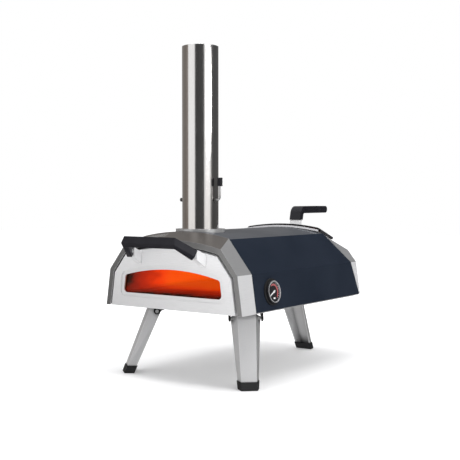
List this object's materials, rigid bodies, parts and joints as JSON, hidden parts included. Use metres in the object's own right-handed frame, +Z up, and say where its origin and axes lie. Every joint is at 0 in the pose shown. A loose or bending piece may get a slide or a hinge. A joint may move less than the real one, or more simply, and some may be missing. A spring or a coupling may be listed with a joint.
{
  "type": "pizza oven",
  "caption": "Portable wood fired pizza oven with arched steel body, tall chimney, drop-down glazed door, rear fuel hatch and three folding legs.",
  "frame": {"origin": "On the floor, in the centre plane, at the middle of the rear foot's sole.", "axes": "The door faces -Y, +X is on the right of someone facing the door, +Z is up."},
  "size_m": [0.4089, 0.7805, 0.7866],
  "materials": {
    "steel_sheet": "satin",
    "collar_steel": "brushed",
    "door_steel": "satin",
    "chimney_steel": "polished",
    "shell_paint": "satin",
    "hatch_paint": "satin",
    "bracket_paint": "satin",
    "insulation": "fibrous",
    "stone": "matte",
    "seal": "matte",
    "rubber": "matte",
    "magnet": "satin",
    "iron": "matte",
    "nylon": "satin",
    "glass": "clear",
    "fastener": "satin",
    "leg_metal": "satin",
    "dial": "matte",
    "needle": "matte",
    "brass": "satin"
  },
  "bodies": {
    "oven": {"base_plate": "steel_sheet", "body_shell": "shell_paint", "front_collar": "collar_steel", "rear_collar": "collar_steel", "rear_cover": "collar_steel", "inner_liner": "steel_sheet", "insulation_blanket": "insulation", "floor_insulation": "insulation", "stone_tray": "steel_sheet", "pizza_stone": "stone", "mouth_frame": "steel_sheet", "door_seal": "seal", "door_magnets": "magnet", "flame_baffle": "steel_sheet", "firebox": "steel_sheet", "fuel_grate": "iron", "door_hinge_brackets": "steel_sheet", "chimney_flange": "chimney_steel", "hatch_frame": "collar_steel", "leg_brackets": "bracket_paint", "leg_pins": "fastener", "body_screws": "fastener", "thermometer_seat": "seal", "thermometer_housing": "door_steel", "thermometer_dial": "dial", "thermometer_lens": "glass", "thermometer_stem": "fastener", "thermometer_nut": "brass"},
    "door": {"door_panel": "door_steel", "door_glass": "glass", "glass_gasket": "seal", "glass_retainer": "steel_sheet", "door_handle": "nylon", "door_handle_brackets": "door_steel", "door_handle_screws": "fastener", "door_hinge_pins": "fastener"},
    "hatch": {"fuel_hatch": "hatch_paint", "hatch_liner": "steel_sheet", "hatch_hinge_pins": "fastener", "hatch_handle_bracket": "door_steel", "hatch_handle": "nylon", "hatch_handle_screws": "fastener"},
    "chimney": {"chimney_tube": "chimney_steel", "damper_bushes": "iron"},
    "damper": {"damper_plate": "steel_sheet", "damper_rod": "fastener", "damper_knob": "nylon", "damper_clip": "iron", "damper_screws": "fastener"},
    "leg_left": {"left_leg": "leg_metal", "left_foot": "rubber"},
    "leg_right": {"right_leg": "leg_metal", "right_foot": "rubber"},
    "leg_rear": {"rear_leg": "leg_metal", "rear_foot": "rubber"},
    "needle": {"thermometer_needle": "needle"},
    "drawer": {"ash_drawer": "collar_steel", "drawer_pull": "nylon"},
    "vent": {"vent_shutter": "steel_sheet"}
  },
  "joints": [
    {"name": "door_hinge", "type": "hinge", "parent": "oven", "child": "door", "pos_m": [0, -0.6014, 0.1772], "axis": [1, 0, 0], "range_deg": [0, 90]},
    {"name": "hatch_hinge", "type": "hinge", "parent": "oven", "child": "hatch", "pos_m": [0, -0.11994, 0.35059], "axis": [1, 0, 0], "range_deg": [0, 75]},
    {"name": "chimney_lift", "type": "slide", "parent": "oven", "child": "chimney", "axis": [0, 0, 1], "range_m": [0, 0.06]},
    {"name": "damper_turn", "type": "hinge", "parent": "chimney", "child": "damper", "pos_m": [0, -0.4928, 0.424], "axis": [1, 0, 0], "range_deg": [0, 90]},
    {"name": "leg_left_fold", "type": "hinge", "parent": "oven", "child": "leg_left", "pos_m": [-0.13771, -0.50115, 0.152], "axis": [0.7604, -0.6494, 0], "range_deg": [0, 112.7]},
    {"name": "leg_right_fold", "type": "hinge", "parent": "oven", "child": "leg_right", "pos_m": [0.13771, -0.50115, 0.152], "axis": [0.7604, 0.6494, 0], "range_deg": [0, 112.7]},
    {"name": "leg_rear_fold", "type": "hinge", "parent": "oven", "child": "leg_rear", "pos_m": [0, -0.07088, 0.152], "axis": [-1, 0, 0], "range_deg": [0, 115]},
    {"name": "needle_turn", "type": "hinge", "parent": "oven", "child": "needle", "pos_m": [0.20113, -0.48, 0.21509], "axis": [-0.9895, 0, -0.1447], "range_deg": [0, 270]},
    {"name": "drawer_slide", "type": "slide", "parent": "oven", "child": "drawer", "axis": [0, 1, 0], "range_m": [0, 0.14]},
    {"name": "vent_slide", "type": "slide", "parent": "drawer", "child": "vent", "axis": [1, 0, 0], "range_m": [0, 0.014]}
  ]
}
